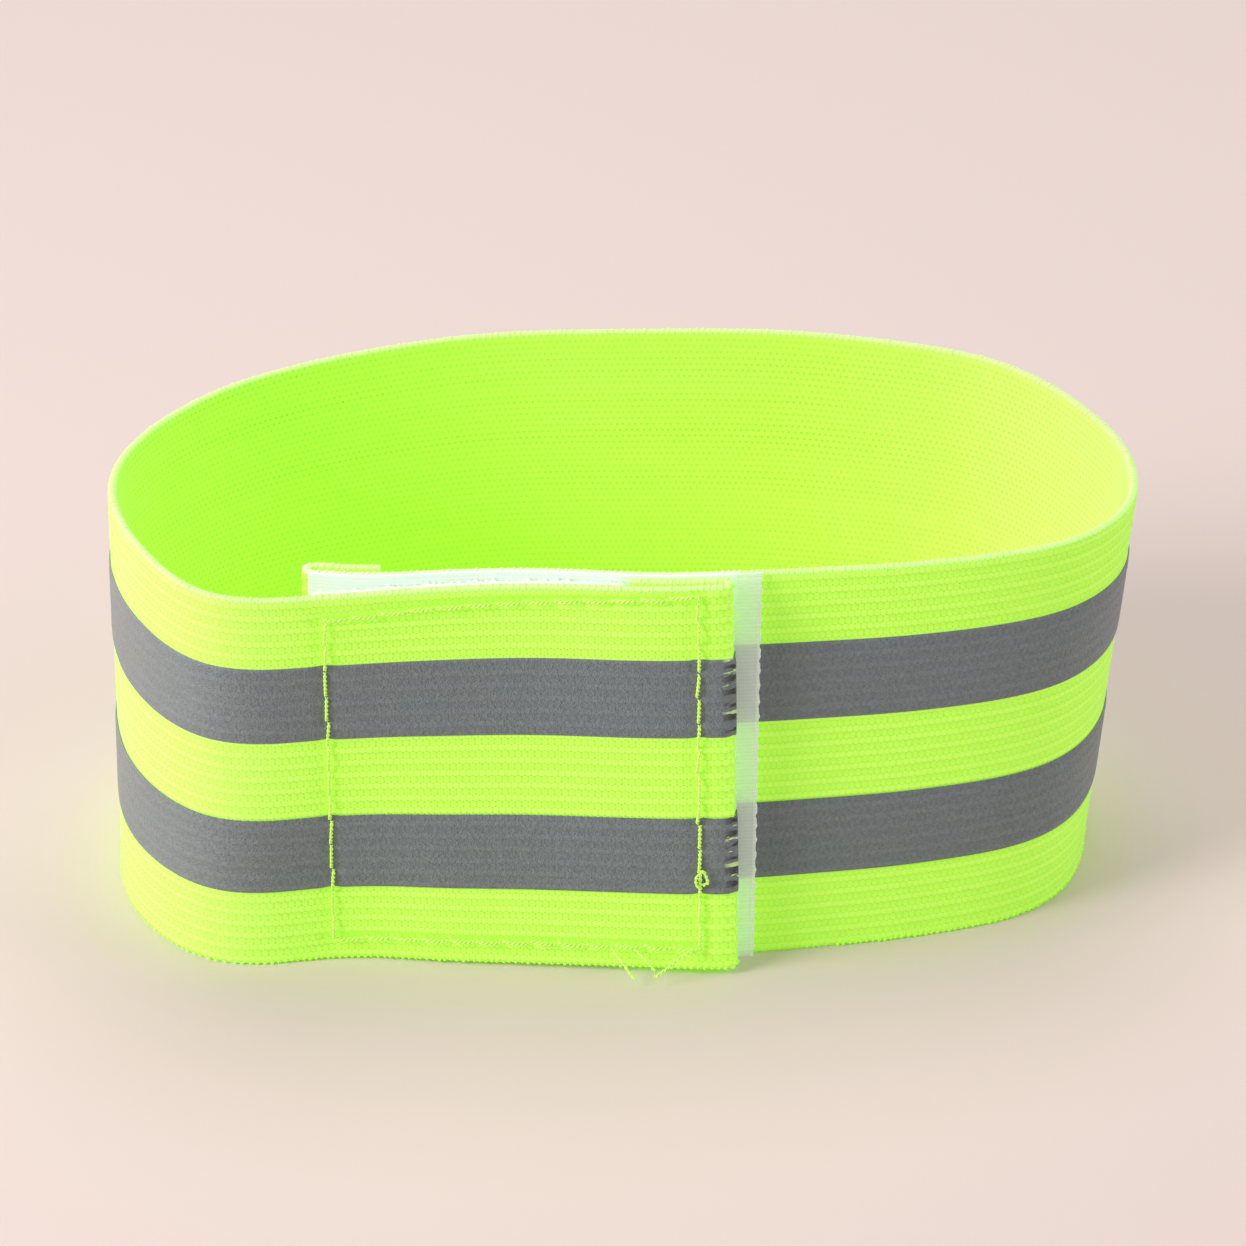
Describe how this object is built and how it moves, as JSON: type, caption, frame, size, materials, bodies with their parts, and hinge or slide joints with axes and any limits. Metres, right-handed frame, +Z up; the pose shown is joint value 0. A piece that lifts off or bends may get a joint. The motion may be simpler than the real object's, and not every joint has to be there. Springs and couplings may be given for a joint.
{
  "type": "reflective elastic wrist band",
  "caption": "Wide elastic band closed round a wrist by a hook-and-loop tab, standing on its edge, with two reflective stripes round its outer face.",
  "frame": {"origin": "middle of the box that the closed band stands in, on the floor", "axes": "+X along the band's longest extent, towards the right of the closure, +Y from the closure at the front to the back, +Z up the band's height"},
  "size_m": [0.124, 0.0766, 0.0503],
  "materials": {
    "webbing": "knitted elastic webbing, fluorescent yellow-green, ribbed along its length, matt",
    "reflective_film": "glass-bead reflective transfer film, silver grey, finely pebbled, satin",
    "loop_pile": "white brushed loop pile",
    "hook_tape": "thin milky moulded hook tape, slightly clear, fine ribs across it",
    "sewing_thread": "twisted polyester sewing thread, yellow-green"
  },
  "bodies": {
    "back_loop": {"webbing_back_loop": "webbing", "reflective_upper_back_loop": "reflective_film", "reflective_lower_back_loop": "reflective_film"},
    "left_flank": {"webbing_left_flank": "webbing", "reflective_upper_left_flank": "reflective_film", "reflective_lower_left_flank": "reflective_film"},
    "outer_tab": {"webbing_outer_tab": "webbing", "reflective_upper_outer_tab": "reflective_film", "reflective_lower_outer_tab": "reflective_film", "loop_tape": "loop_pile", "tab_seam_needle_thread": "sewing_thread", "tab_seam_bobbin_thread": "sewing_thread", "thread_end_left": "sewing_thread", "thread_end_middle": "sewing_thread", "thread_end_right": "sewing_thread", "thread_slack_loop": "sewing_thread"},
    "inner_tab": {"webbing_inner_tab": "webbing", "reflective_upper_inner_tab": "reflective_film", "reflective_lower_inner_tab": "reflective_film", "hook_tape": "hook_tape", "hook_seam_needle_thread": "sewing_thread", "hook_seam_bobbin_thread": "sewing_thread", "hem_seam_bobbin_thread": "sewing_thread"}
  },
  "joints": [
    {"name": "left_flank_open", "type": "hinge", "parent": "back_loop", "child": "left_flank", "pos_m": [-0.05331, 0.01523, 0], "axis": [0, 0, -1], "range_deg": [0, 75]},
    {"name": "closure_tab_peel", "type": "hinge", "parent": "left_flank", "child": "outer_tab", "pos_m": [-0.03878, -0.03678, 0], "axis": [0, 0, -1], "range_deg": [0, 120]},
    {"name": "inner_tab_flex", "type": "hinge", "parent": "back_loop", "child": "inner_tab", "pos_m": [0.02306, -0.02365, 0], "axis": [0, 0, -1], "range_deg": [0, 40]}
  ]
}
